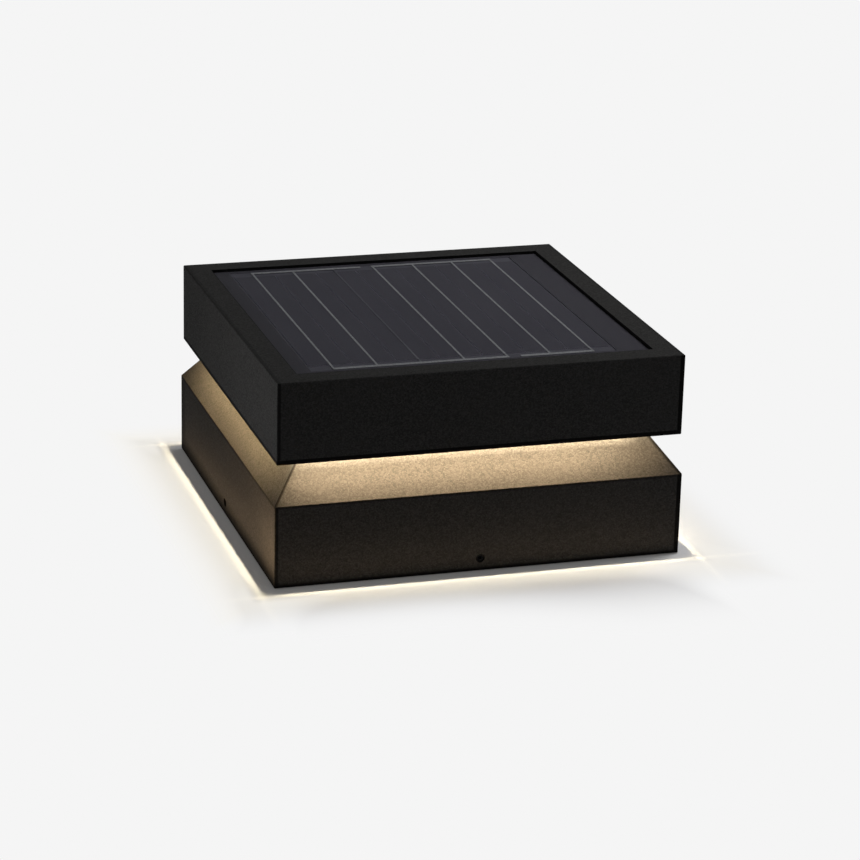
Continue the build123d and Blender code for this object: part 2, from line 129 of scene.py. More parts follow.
class CoatSettings(PropertyGroup):
    """The black powder coat on the castings."""

    colour: colour_setting("Coat Colour", "Colour of the powder coat", (0.0415, 0.0408, 0.040))
    fleck: colour_setting("Fleck Colour", "Colour between the coat's grains", (0.019, 0.0186, 0.0182))
    grain: length_setting("Coat Grain", "Size of one grain of the sanded coat", 0.8, 0.1, 5)
    grain_height: length_setting("Grain Height", "How far a grain stands out of the coat", 0.14, 0, 1)
    # Painted shade: the width of the dark lines painted along the coat's edges and foot
    edge_width: length_setting("Edge Width", "Width of the smooth dark line along sharp edges", 2.2, 0.1, 5)


class PanelSettings(PropertyGroup):
    """The solar panel under its cover glass."""

    strips: count_setting("Strips", "Number of cell strips", 7, 20)
    ribbon_width: length_setting("Ribbon Width", "Width of the ribbon along each strip", 1.3, 0.1, 4)
    bus_width: length_setting("Bus Width", "Width of the cross ribbons", 3.4, 0.1, 6)
    bus_gap: length_setting("Bus Gap", "Gap between two cross ribbons in one row", 8.0, 1, 30)
    finger_pitch: length_setting("Finger Pitch", "Distance between a cell's printed lines", 1.5, 0.3, 5)
    cell_colour: colour_setting("Cell Colour", "Colour of the silicon", (0.060, 0.0555, 0.0675))
    ribbon_colour: colour_setting("Ribbon Colour", "Colour of the tinned ribbons", (0.25, 0.245, 0.252))


class LightSettings(PropertyGroup):
    """The light rows under the cap and what they throw on shoulder and floor."""

    colour: colour_setting("Light Colour", "Colour of the warm light", (1.0, 0.725, 0.43))
    inner_colour: colour_setting("Inner Colour", "Light near the top of the shoulder", (1.0, 0.79, 0.50))
    ground_colour: colour_setting("Ground Colour", "Light on the floor", (1.0, 0.965, 0.90))
    line_colour: colour_setting("Line Colour", "Bright line on the floor", (1.0, 0.85, 0.53))
    glow_colour: colour_setting("Glow Colour", "Light from the bright floor", (1.0, 0.675, 0.375))
    outer_power: power_setting("Outer Power", "Light from the shoulder's outer edge", 0.55)
    inner_power: power_setting("Inner Power", "Light from the shoulder's inner edge", 0.235)
    brow_power: power_setting("Brow Power", "Bright line at the top of the shoulder", 0.053)
    ground_power: power_setting("Ground Power", "Light that reaches the floor", 0.032)
    line_power: power_setting("Line Power", "Bright line where the floor's light begins", 0.0138)
    ray_power: power_setting("Ray Power", "Thin rays that cross at the floor's corners", 0.0022)
    glow_power: power_setting("Glow Power", "Light from the floor on the left side's front end", 0.112)
    far_bounce: power_setting("Far Bounce", "Light on the left side from the floor farther off", 0.125)
    near_bounce: power_setting("Near Bounce", "Light on the left side from the floor close by", 0.05)
    bounce: power_setting("Bounce", "Light that the floor throws on each other side", 0.018)
    left_share: number_setting("Left Share", "Share of the shoulder's light on the left side", 0.5)
    glow: number_setting("Diffuser Glow", "How bright the opal strips look", 1.6, 20.0)
    length: length_setting("Light Length", "Length of the lit part of each window", 236, 10, 240)
    pitch: length_setting("Package Pitch", "Distance between the light packages of a row", 14.0, 4, 60)
    packages: count_setting("Packages", "Number of light packages in a row", 14, 60)


class StageSettings(PropertyGroup):
    """Floor, studio light and camera."""

    white: number_setting("Backdrop White", "Brightness of floor and backdrop far from the light", 0.913)
    # Painted light: the colour of the warm glow painted into the floor's white close to the lamp
    warmth: colour_setting("Warmth", "Tint of the floor close to the lamp", (1.0, 0.97, 0.905))
    lift: number_setting("Lift", "How far the floor's own shade is lifted towards white", 0.06)
    ambient: number_setting("Ambient", "Even light from all round", 0.12, 2.0)
    floor_colour: colour_setting("Floor Colour", "Colour of the floor round the light", (0.80, 0.80, 0.815))
    azimuth: angle_setting("Azimuth", "Camera's turn about the upright axis from the front", -17.26)
    elevation: angle_setting("Elevation", "Camera's height as an angle", 19.13)
    roll: angle_setting("Roll", "Camera's lean about its own axis", 1.46)
    distance: length_setting("Distance", "Camera's distance from its target", 1899, 100, 20000)
    lens: FloatProperty(name="Lens", description="Focal length", default=126.75, unit="CAMERA")


class Value:
    """A shader socket that takes part in arithmetic: each operation adds a Math node."""

    def __init__(self, finish, socket):
        self.finish = finish
        self.socket = socket

    def output(self, name):
        """Another output of the same node."""
        return Value(self.finish, self.socket.node.outputs[name])

    def maths(self, operation, *terms):
        return self.finish.add("ShaderNodeMath", {"operation": operation}, dict(enumerate(terms)))

    def __add__(self, other):
        return self.maths("ADD", self, other)

    def __radd__(self, other):
        return self.maths("ADD", other, self)

    def __sub__(self, other):
        return self.maths("SUBTRACT", self, other)

    def __rsub__(self, other):
        return self.maths("SUBTRACT", other, self)

    def __mul__(self, other):
        return self.maths("MULTIPLY", self, other)

    def __rmul__(self, other):
        return self.maths("MULTIPLY", other, self)

    def __truediv__(self, other):
        return self.maths("DIVIDE", self, other)

    def __mod__(self, other):
        return self.maths("FLOORED_MODULO", self, other)

    def __abs__(self):
        return self.maths("ABSOLUTE", self)

    def __or__(self, other):
        return self.maths("MAXIMUM", self, other)

    def __and__(self, other):
        return self.maths("MINIMUM", self, other)


class Finish:
    """The node tree of a material, a lamp or the world, under construction."""

    def __init__(self, owner):
        owner.use_nodes = True
        self.owner = owner
        self.tree = owner.node_tree
        self.tree.nodes.clear()
        self.place = self.add("ShaderNodeTexCoord", output="Object")
        self.x = self.add("ShaderNodeSeparateXYZ", sockets={0: self.place}, output="X")
        self.y = self.x.output("Y")
        self.z = self.x.output("Z")

    def add(self, kind, settings=None, sockets=None, output=0):
        """A node of one kind: its settings are made first, then its sockets get values or links."""
        node = self.tree.nodes.new(kind)
        for key, value in (settings or {}).items():
            setattr(node, key, value)
        for key, value in (sockets or {}).items():
            if isinstance(value, Value):
                self.tree.links.new(value.socket, node.inputs[key])
            else:
                node.inputs[key].default_value = value
        return Value(self, node.outputs[output] if len(node.outputs) else None)

    def noise(self, size, detail=3.0, stretch=(1, 1, 1)):
        """Cloudy noise with features of about one size, in metres."""
        place = self.add("ShaderNodeMapping", sockets={"Vector": self.place, "Scale": stretch})
        sockets = {"Vector": place, "Scale": 1 / size, "Detail": detail}
        return self.add("ShaderNodeTexNoise", sockets=sockets)

    def cells(self, size, randomness=1.0):
        """Distance to the nearest of scattered points about one size apart, in metres."""
        sockets = {"Vector": self.place, "Scale": 1 / size, "Randomness": randomness}
        return self.add("ShaderNodeTexVoronoi", sockets=sockets)

    def step(self, value, low, high):
        """A smooth rise from 0 at low to 1 at high."""
        sockets = {"Value": value, "From Min": low, "From Max": high}
        return self.add("ShaderNodeMapRange", {"interpolation_type": "SMOOTHSTEP"}, sockets)

    def within(self, value, low, high, soft=0.1 * MM):
        """1 between two bounds, with soft ends inside them."""
        return self.step(value, low, low + soft) * (1 - self.step(value, high - soft, high))

    def between(self, value, low, high):
        """A number that goes from low to high as value goes from 0 to 1."""
        return self.add("ShaderNodeMapRange", sockets={"Value": value, "To Min": low, "To Max": high})

    def wave(self, value, pitch):
        """A number that repeats once a pitch: 0.5 at its ends and 0 in its middle."""
        return abs((value % pitch) / pitch - 0.5)

    def blend(self, factor, first, second):
        """A colour between two colours."""
        sockets = {0: factor, 6: as_colour(first), 7: as_colour(second)}
        return self.add("ShaderNodeMix", {"data_type": "RGBA"}, sockets, output=2)

    def bump(self, height, distance, strength=1.0):
        """A normal from a height between 0 and 1, which stands for a distance in metres."""
        sockets = {"Height": height, "Distance": distance, "Strength": strength}
        return self.add("ShaderNodeBump", sockets=sockets)

    def mix(self, factor, first, second):
        """A shader between two shaders."""
        return self.add("ShaderNodeMixShader", sockets={0: factor, 1: first, 2: second})

    def show(self, shader):
        """End the tree in a shader and give back its owner."""
        kind = "Material"
        for other in (bpy.types.World, bpy.types.Light):
            if isinstance(self.owner, other):
                kind = other.__name__
        self.add(f"ShaderNodeOutput{kind}", sockets={"Surface": shader})
        return self.owner

    def surface(self, sockets):
        """End the tree in one principled surface."""
        return self.show(self.add("ShaderNodeBsdfPrincipled", sockets=sockets))


def as_colour(colour):
    """A colour with its alpha, or a link as it is."""
    return colour if isinstance(colour, Value) else (*colour[:3], 1.0)


def shade(colour, share):
    """A colour made darker, or lighter, by a share."""
    return [min(1.0, channel * share) for channel in colour]


def new_finish(name):
    return Finish(bpy.data.materials.new(name))


def at_face(finish, place, half):
    """A mask of the two flat faces of a square body that stand half its width from the middle."""
    return finish.step(abs(place), half - 0.5 * MM, half - 0.1 * MM)


def upright_edges(finish, half, width):
    """A mask of painted shade lines along the upright edges on the front and back faces of a square body,
    wider on the right.
    """
    left = 0.8 * finish.step(-1 * finish.x, half - 1.2 * width, half - 0.8 * width)
    right = finish.step(finish.x, half - 1.6 * width, half - 1.2 * width)
    return at_face(finish, finish.y, half) * (left | right)


def base_edges(finish, width):
    """A mask of painted shade on the base: dark lines along its foot, under the shoulder, at its upright
    edges and along the shoulder's corner ridges, shade round the screw holes, and darkening at its flanks'
    lower and rear ends.
    """
    on_side = 1 - finish.step(finish.z, SHOULDER_LEVEL, SHOULDER_LEVEL + 0.2 * MM)
    foot = 1 - finish.step(finish.z, BASE_LOW.z + 0.6 * width, BASE_LOW.z + 1.4 * width)
    brow = finish.step(finish.z, SHOULDER_LEVEL - width, SHOULDER_LEVEL - 0.3 * width) * on_side
    upright = upright_edges(finish, BASE_HALF, width) * on_side

    on_flank = at_face(finish, finish.x, BASE_HALF) * on_side
    # Painted shade: the flanks darken towards the foot and towards the back
    lower = (1 - finish.step(finish.z, 2.5 * MM, 13.5 * MM)) * on_flank
    rear = finish.step(finish.y, BASE_HALF - 14 * MM, BASE_HALF - 7 * MM) * on_flank

    off_ridge = abs(abs(finish.x) - abs(finish.y))
    wider_right = 1 + 0.8 * finish.step(finish.x, 0, 60 * MM)
    ridge = (1 - finish.step(off_ridge / wider_right, 0.3 * width, 0.8 * width)) * (1 - on_side)

    # Painted shade in and round each screw hole
    hole = 2.4 * MM
    hole_rim = 2.9 * MM
    flank_stretch = 0.65
    aside = abs(finish.x) & (flank_stretch * abs(finish.y))
    above = finish.z - SCREW_LEVEL
    bore = 1 - finish.step(aside * aside + above * above, hole ** 2, hole_rim ** 2)
    return foot | 0.6 * brow | 0.9 * ridge | upright | 0.85 * lower | 0.5 * rear | bore


def cap_edges(finish, width):
    """A mask of painted shade on the cap: dark lines along its lower, upright and upper side edges, and
    painted shadow on the walls of the panel's pocket.
    """
    out = abs(finish.x) | abs(finish.y)
    foot = 1 - finish.step(finish.z, CAP_LOW.z + 1.2 * width, CAP_LOW.z + 1.5 * width)
    pocket = 1 - finish.step(out, GLASS_HALF + 0.7 * MM, GLASS_HALF + 0.9 * MM)
    on_side = finish.step(out, CAP_HALF - 1 * MM, CAP_HALF - 0.5 * MM)
    on_top = finish.step(finish.z, CAP_HIGH.z - 0.3 * MM, CAP_HIGH.z - 0.1 * MM)
    brim = finish.step(abs(finish.x), CAP_HALF - 1.4 * width, CAP_HALF - 0.8 * width) * on_top
    return foot * on_side | upright_edges(finish, CAP_HALF, width) | pocket | 0.35 * brim


def powder_coat(name, edges):
    """Black powder coat with a sanded grain, and painted shade from a mask that darkens it along edges, at
    its foot, in hollows and round holes.
    """
    coat = bpy.context.scene.post_light_coat
    finish = new_finish(name)
    grains = finish.cells(coat.grain)
    speck = finish.add("ShaderNodeSeparateXYZ", sockets={0: grains.output("Color")})
    sand = finish.noise(0.55 * coat.grain, detail=2.0)
    cloud = finish.noise(60 * MM, detail=2.0)
    height = 0.6 * (1 - grains) + 0.4 * sand
    tone = 0.7 * speck + 0.3 * finish.step(height, 0.3, 0.72)
    colour = finish.blend(tone, coat.fleck, coat.colour)
    colour = finish.blend(0.25 * finish.step(cloud, 0.4, 0.75), colour, shade(coat.colour, 0.85))
    # Painted shade: the mask darkens the coat to near black along edges, at the foot, in hollows and round
    # holes
    colour = finish.blend(0.9 * edges(finish, coat.edge_width), colour, PAINTED_SHADE)
    return finish.surface({
        "Base Color": colour,
        "Roughness": finish.between(height, 0.72, 0.56),
        "Specular IOR Level": DULL_SHINE,
        "Normal": finish.bump(height, coat.grain_height),
    })


def worn_metal(name, colour, roughness, grain, brushed=(1, 1, 1), dull=0.75):
    """Plated or bare metal with fine brushing and cloudy dull patches."""
    finish = new_finish(name)
    lines = finish.noise(grain, detail=4.0, stretch=brushed)
    cloud = finish.noise(14 * MM)
    tone = 0.5 * lines + 0.5 * cloud
    return finish.surface({
        "Base Color": finish.blend(finish.step(tone, 0.3, 0.7), shade(colour, dull), colour),
        "Metallic": 1.0,
        "Roughness": finish.between(tone, roughness * 0.75, roughness * 1.3),
        "Normal": finish.bump(lines, 0.02 * MM, 0.5),
    })


def moulded(name, colour, roughness, grain, height=0.03 * MM, shine=0.4, mottle=0.8):
    """Moulded plastic, rubber, foam or card with its own grain."""
    finish = new_finish(name)
    grains = finish.noise(grain)
    cloud = finish.noise(12 * MM, detail=2.0)
    tone = 0.6 * grains + 0.4 * cloud
    return finish.surface({
        "Base Color": finish.blend(finish.step(tone, 0.3, 0.7), shade(colour, mottle), colour),
        "Roughness": finish.between(grains, roughness * 0.85, min(1.0, roughness * 1.15)),
        "Specular IOR Level": shine,
        "Normal": finish.bump(grains, height, 0.7),
    })


def printed_board(name, mask, copper, pitch):
    """A circuit board: solder mask with traces that show through and bare round pads."""
    finish = new_finish(name)
    across = finish.wave(finish.x, pitch)
    along = finish.wave(finish.y, 1.7 * pitch)
    wander = finish.noise(9 * MM, detail=1.0)
    rows = finish.step(across, 0.30, 0.36) * finish.step(wander, 0.45, 0.5)
    columns = finish.step(along, 0.32, 0.38) * (1 - finish.step(wander, 0.5, 0.55))
    traces = rows | columns
    pads = 1 - finish.step(finish.cells(2.2 * pitch, 0.6), 0.16, 0.2)
    grain = finish.noise(0.4 * MM, detail=2.0)
    colour = finish.blend(traces, mask, shade(mask, 1.35))
    return finish.surface({
        "Base Color": finish.blend(pads, colour, copper),
        "Metallic": 0.8 * pads,
        "Roughness": finish.between(grain, 0.3, 0.45),
        "Normal": finish.bump(traces | pads, 0.03 * MM, 0.6),
    })


def opal_diffuser(name):
    """Milky strip, brighter under each light package."""
    lights = bpy.context.scene.post_light_light
    finish = new_finish(name)
    shift = 0.5 * lights.pitch * ((lights.packages + 1) % 2)
    runs_along_x = finish.step(abs(finish.y), 105 * MM, 106 * MM)
    along = runs_along_x * finish.x + (1 - runs_along_x) * finish.y
    hot = finish.step(finish.wave(along + shift, lights.pitch), 0.15, 0.5)
    milk = finish.noise(0.5 * MM, detail=2.0)
    warm = lights.colour
    deep = (warm[0] * 0.75, warm[1] * 0.7, warm[2] * 0.6)
    return finish.surface({
        "Base Color": finish.blend(milk, (0.78, 0.75, 0.68), (0.86, 0.84, 0.78)),
        "Roughness": finish.between(milk, 0.35, 0.5),
        "Emission Color": finish.blend(hot, deep, warm),
        "Emission Strength": lights.glow,
        "Normal": finish.bump(milk, 0.02 * MM, 0.4),
    })


def light_package(name):
    """White package with a yellow phosphor window, which an attribute marks."""
    finish = new_finish(name)
    window = finish.add("ShaderNodeAttribute", {"attribute_name": "phosphor"}, output="Fac")
    grain = finish.noise(0.15 * MM, detail=2.0)
    white = finish.blend(grain, (0.74, 0.74, 0.72), (0.82, 0.82, 0.80))
    yellow = finish.blend(grain, (0.78, 0.55, 0.10), (0.85, 0.66, 0.18))
    return finish.surface({
        "Base Color": finish.blend(window, white, yellow),
        "Roughness": finish.between(grain, 0.35, 0.55),
        "Emission Color": finish.blend(window, (0, 0, 0), bpy.context.scene.post_light_light.colour),
        "Emission Strength": 2.0,
        "Normal": finish.bump(grain, 0.01 * MM, 0.5),
    })


def silicon_cell(name):
    """Blue-black silicon with printed fingers across each strip, and side faces painted pale as painted
    light that hides the shade in the gaps between cells.
    """
    panel = bpy.context.scene.post_light_panel
    finish = new_finish(name)
    fingers = finish.step(finish.wave(finish.y, panel.finger_pitch), 0.455, 0.475)
    crystal = finish.noise(5 * MM)
    cloud = finish.noise(70 * MM, detail=2.0)
    tone = 0.6 * cloud + 0.4 * crystal
    colour = finish.blend(tone, shade(panel.cell_colour, 0.88), panel.cell_colour)
    colour = finish.blend(0.2 * fingers, colour, (0.12, 0.12, 0.13))
    # Painted light: the cells' side faces are pale so that the gaps between cells show no shade
    painted_light_edge = 1 - finish.step(finish.z, CELL_HIGH.z - 0.04 * MM, CELL_HIGH.z - 0.02 * MM)
    return finish.surface({
        "Base Color": finish.blend(painted_light_edge, colour, (0.42, 0.395, 0.46)),
        "Roughness": finish.between(crystal, 0.4, 0.55),
        "Specular IOR Level": DULL_SHINE,
        "Normal": finish.bump(fingers, 0.02 * MM, 0.5),
    })


def tinned_ribbon(name, dark_line, front, back):
    """Tinned copper ribbon with solder ripples; one ribbon is masked black, less so at its front end."""
    panel = bpy.context.scene.post_light_panel
    finish = new_finish(name)
    ripple = finish.noise(1.2 * MM, stretch=(1, 0.35, 1))
    tone = finish.step(ripple, 0.3, 0.7)
    colour = finish.blend(tone, shade(panel.ribbon_colour, 0.72), panel.ribbon_colour)
    on_line = 1 - finish.step(abs(finish.x - dark_line), 2 * MM, 2.4 * MM)
    behind = finish.step(finish.y, front + 10 * MM, front + 48 * MM)
    in_field = finish.within(finish.y, front, back, 1 * MM)
    masked = on_line * in_field * (0.8 + 0.2 * behind)
    return finish.surface({
        "Base Color": finish.blend(masked, colour, shade(panel.cell_colour, 0.92)),
        "Roughness": finish.between(ripple, 0.4, 0.6),
        "Specular IOR Level": 0.02,
        "Normal": finish.bump(ripple, 0.03 * MM, 0.6),
    })


def cover_glass(name):
    """Clear cover with a thin film of dust, which shines only when seen flat along its face."""
    finish = new_finish(name)
    dust = finish.noise(45 * MM, detail=4.0)
    clear = finish.add("ShaderNodeBsdfTransparent", sockets={"Color": (0.97, 0.98, 0.985, 1.0)})
    film = finish.add("ShaderNodeBsdfDiffuse", sockets={"Color": (0.7, 0.7, 0.72, 1.0)})
    gloss = finish.add("ShaderNodeBsdfGlossy", sockets={
        "Color": (0.89, 0.87, 1.0, 1.0),
        "Roughness": finish.between(dust, 0.22, 0.34),
    })
    flat = finish.add("ShaderNodeLayerWeight", output="Facing")
    inner = finish.add("ShaderNodeNewGeometry", output="Backfacing")
    dusty = finish.mix(0.004 * finish.step(dust, 0.3, 0.7), clear, film)
    return finish.show(finish.mix(0.3 * finish.step(flat, 0.78, 0.97) * (1 - inner), dusty, gloss))


def black_laminate(name):
    """Black back sheet with a faint woven print, painted darker towards the pocket's left wall as shade,
    and painted pale on the pocket's walls and on its floor round and between the cells, as painted light
    that hides their shade.
    """
    finish = new_finish(name)
    pitch = 0.8 * MM
    across = finish.step(finish.wave(finish.x, pitch), 0.1, 0.4)
    along = finish.step(finish.wave(finish.y, pitch), 0.1, 0.4)
    weave = across * (1 - along) + along * (1 - across)
    cloud = finish.noise(50 * MM, detail=2.0)
    colour = finish.blend(0.6 * weave + 0.4 * cloud, (0.054, 0.0505, 0.059), (0.059, 0.055, 0.064))
    # Painted shade: darker towards the pocket's left wall
    left = 1 - finish.step(finish.x, -112 * MM, -92 * MM)
    colour = finish.blend(0.5 * left, colour, (0.040, 0.039, 0.040))
    # Painted light: the pocket's walls are pale so that the gaps between the cells show no shade
    wall = 1 - finish.step(finish.z, SHEET_TOP - 0.08 * MM, SHEET_TOP - 0.03 * MM)
    colour = finish.blend(wall, colour, (0.22, 0.207, 0.243))
    # Painted light: the pocket's floor is pale, most between the cells, so that the gaps show no shade
    floor = 1 - finish.step(finish.z, CELL_LOW.z + 0.05 * MM, CELL_LOW.z + 0.15 * MM)
    in_field = finish.within(finish.x, CELL_LOW.x, CELL_HIGH.x)
    in_field = in_field * finish.within(finish.y, CELL_LOW.y, CELL_HIGH.y)
    floor_colour = finish.blend(in_field, (0.085, 0.08, 0.094), (0.27, 0.252, 0.30))
    return finish.surface({
        "Base Color": finish.blend(floor, colour, floor_colour),
        "Roughness": finish.between(weave, 0.5, 0.65),
        "Specular IOR Level": DULL_SHINE,
        "Normal": finish.bump(weave, 0.02 * MM, 0.4),
    })


def paint_nodes(material, *names):
    """Give CAD pieces a finish through their material slots."""
    for name in names:
        for slot in NODES[name].material_slots:
            slot.material = material


def skin(shell, loops):
    """Close a shell through its loops, with a face over the first and the last one."""
    count = len(loops[0])
    for lower, upper in zip(loops, loops[1:]):
        for n in range(count):
            after = (n + 1) % count
            shell.faces.new((lower[n], lower[after], upper[after], upper[n]))
    shell.faces.new(loops[0])
    shell.faces.new(loops[-1])
    bmesh.ops.recalc_face_normals(shell, faces=shell.faces)


def lathe(rings, steps=24):
    """A closed shell through rings of (shape, radius, level); a hexagon's radius is to its flats."""
    shell = bmesh.new()
    loops = []
    for shape, radius, level in rings:
        loop = []
        for step in range(steps):
            angle = TURN * step / steps
            reach = radius
            if shape == "hex":
                reach = radius / math.cos(angle % (TURN / 6) - TURN / 12)
            loop.append(shell.verts.new((reach * math.cos(angle), reach * math.sin(angle), level)))
        loops.append(loop)
    skin(shell, loops)
    return shell


def finished_mesh(shell, name):
    """A flat shaded mesh from a bmesh, which is freed."""
    mesh = bpy.data.meshes.new(name)
    shell.to_mesh(mesh)
    shell.free()
    for face in mesh.polygons:
        face.use_smooth = False
    return mesh


def new_object(name, data):
    """An object in the scene for a mesh, a lamp or a camera."""
    thing = bpy.data.objects.new(name, data)
    bpy.context.scene.collection.objects.link(thing)
    return thing


def thread_rings(radius, low, high, pitch):
    """Crests and roots of a thread between two levels, ending in a chamfered tip."""
    root = 0.86 * radius
    profile = ((root, 0.15), (radius, 0.45), (radius, 0.6), (root, 0.9))
    turns = int((high - low) / pitch) - 1
    rings = []
    for turn in range(turns):
        for reach, share in profile:
            rings.append(("round", reach, low + turn * pitch + share * pitch))
    rings.append(("round", 0.8 * radius, high))
    return rings


def pan_screw(radius, head_radius, head_height, length, key, pitch):
    """A screw with a domed head below level 0 and its thread above."""
    chamfer = 0.1 * MM
    dome = head_height / 3
    rings = [
        ("hex", key / 2, -0.4 * head_height),
        ("hex", key / 2, chamfer - head_height),
        ("hex", key / 2 + chamfer, -head_height),
    ]
    dome_steps = 4
    for step in range(dome_steps + 1):
        angle = TURN / 4 * step / dome_steps
        reach = head_radius - dome * (1 - math.sin(angle))
        rings.append(("round", reach, dome * (1 - math.cos(angle)) - head_height))
    rings += [
        ("round", head_radius, -chamfer),
        ("round", head_radius - chamfer, 0.0),
        ("round", radius, 0.0),
    ]
    return lathe(rings + thread_rings(radius, 0.0, length, pitch))


def flat_screw(radius, head_radius, head_height, length, key, pitch):
    """A countersunk screw whose flat face is at level 0."""
    chamfer = 0.1 * MM
    rings = [
        ("hex", key / 2, 0.6 * head_height),
        ("hex", key / 2, chamfer),
        ("hex", key / 2 + chamfer, 0.0),
        ("round", head_radius - 1.5 * chamfer, 0.0),
        ("round", head_radius - 0.5 * chamfer, chamfer),
        ("round", radius, head_height),
    ]
    return lathe(rings + thread_rings(radius, head_height, length, pitch))


def socket_set_screw(radius, length, key, key_depth, pitch):
    """A headless screw whose key socket opens at level 0."""
    chamfer = 0.15 * MM
    rings = [
        ("hex", key / 2, key_depth),
        ("hex", key / 2, chamfer),
        ("hex", key / 2 + chamfer, 0.0),
        ("round", 0.82 * radius, 0.0),
    ]
    return lathe(rings + thread_rings(radius, 0.0, length, pitch))


class Maker:
    """A Geometry Nodes tree under construction, whose first input is the shape to repeat."""

    def __init__(self, name, material):
        self.name = name
        self.material = material
        self.tree = bpy.data.node_groups.new(name, "GeometryNodeTree")
        self.tree.interface.new_socket("Shape", in_out="INPUT", socket_type="NodeSocketGeometry")
        self.tree.interface.new_socket("Geometry", in_out="OUTPUT", socket_type="NodeSocketGeometry")
        self.inlet = self.tree.nodes.new("NodeGroupInput")
        self.outlet = self.tree.nodes.new("NodeGroupOutput")
        self.values = {}

    def size(self, name, value, kind="NodeSocketFloat"):
        """A named input of the tree and the value that this piece gives it."""
        item = self.tree.interface.new_socket(name, in_out="INPUT", socket_type=kind)
        self.values[item.identifier] = value
        return self.inlet.outputs[name]

    def add(self, kind, settings=None, sockets=None, output=0):
        """A node of one kind: its settings first, then its sockets' values or links."""
        node = self.tree.nodes.new(kind)
        for key, value in (settings or {}).items():
            setattr(node, key, value)
        for key, value in (sockets or {}).items():
            if isinstance(value, bpy.types.NodeSocket):
                self.tree.links.new(value, node.inputs[key])
            else:
                node.inputs[key].default_value = value
        return node.outputs[output]

    def maths(self, operation, *terms):
        return self.add("ShaderNodeMath", {"operation": operation}, dict(enumerate(terms)))

    def vector(self, **parts):
        """A vector from the parts that are given."""
        return self.add("ShaderNodeCombineXYZ", sockets=parts)

    def copies(self, points, shape=None, turn=None):
        """Copies on points of a shape, or of the first input, each turned about the upright axis."""
        sockets = {"Points": points, "Instance": shape or self.inlet.outputs["Shape"]}
        if turn:
            sockets["Rotation"] = self.vector(Z=turn)
        return self.add("GeometryNodeInstanceOnPoints", sockets=sockets)

    def round_sides(self, reach, shape=None):
        """Copies on the four sides of a square, each turned to face outwards from +X on."""
        ring = self.add("GeometryNodeMeshCircle", sockets={"Vertices": len(SIDES), "Radius": reach})
        index = self.add("GeometryNodeInputIndex")
        return self.copies(ring, shape, self.maths("MULTIPLY", index, TURN / len(SIDES)))

    def line(self, count, start, offset):
        """Points in a row."""
        sockets = {"Count": count, "Start Location": start, "Offset": offset}
        return self.add("GeometryNodeMeshLine", sockets=sockets)

    def build(self, geometry, shape_mesh):
        """End the tree, run it on one shape and keep the result as a plain mesh."""
        real = self.add("GeometryNodeRealizeInstances", sockets={0: geometry})
        painted = {"Geometry": real, "Material": self.material}
        finished = self.add("GeometryNodeSetMaterial", sockets=painted)
        self.tree.links.new(finished, self.outlet.inputs["Geometry"])
        piece = new_object(self.name, shape_mesh)
        modifier = piece.modifiers.new(self.name, "NODES")
        modifier.node_group = self.tree
        for identifier, value in self.values.items():
            modifier[identifier] = value
        graph = bpy.context.evaluated_depsgraph_get()
        mesh = bpy.data.meshes.new_from_object(piece.evaluated_get(graph))
        piece.modifiers.remove(modifier)
        piece.data = mesh
        if not mesh.polygons:
            raise RuntimeError(f"{self.name} came out empty")
        return piece


def at_corners(name, material, spread, shape_mesh, seed):
    """Copies of a screw at the four corners of a square, each stopped at its own turn."""
    maker = Maker(name, material)
    side = maker.size("Spread", spread)
    number = maker.size("Seed", seed, "NodeSocketInt")
    corners = {"Size X": side, "Size Y": side, "Vertices X": 2, "Vertices Y": 2}
    grid = maker.add("GeometryNodeMeshGrid", sockets=corners)
    any_turn = {2: 0.0, 3: TURN, "Seed": number}
    turn = maker.add("FunctionNodeRandomValue", {"data_type": "FLOAT"}, any_turn, output=1)
    return maker.build(maker.copies(grid, turn=turn), shape_mesh)


def place_piece(piece, body, slot, *nodes):
    """Tie a piece to its body and hide the CAD nodes that it stands for; the slot argument is not used."""
    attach(piece, body)
    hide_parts(*nodes)


class POSTLIGHT_OT_castings(Operator):
    """Coat the base, the cap and the tray, and finish the rubber seals"""

    bl_idname = "post_light.castings"
    bl_label = "Coat Castings"

    def execute(self, context):
        paint_nodes(powder_coat("coat_base", base_edges), "base_housing")
        paint_nodes(powder_coat("coat_cap", cap_edges), "cap_housing", "cap_tray")
        rubber = moulded("gasket_rubber", (0.022, 0.022, 0.023), 0.8, 0.5 * MM, shine=0.25)
        paint_nodes(rubber, "deck_gasket", "post_gasket", "carrier_seal", "switch_seal")
        return {"FINISHED"}


class POSTLIGHT_OT_mount(Operator):
    """Finish the zinc plated mounting plate and nuts"""

    bl_idname = "post_light.mount"
    bl_label = "Finish Mounting Plate"

    def execute(self, context):
        zinc = worn_metal("zinc_plating", (0.58, 0.59, 0.60), 0.42, 3 * MM)
        paint_nodes(zinc, "mounting_plate", "tray_nuts")
        return {"FINISHED"}


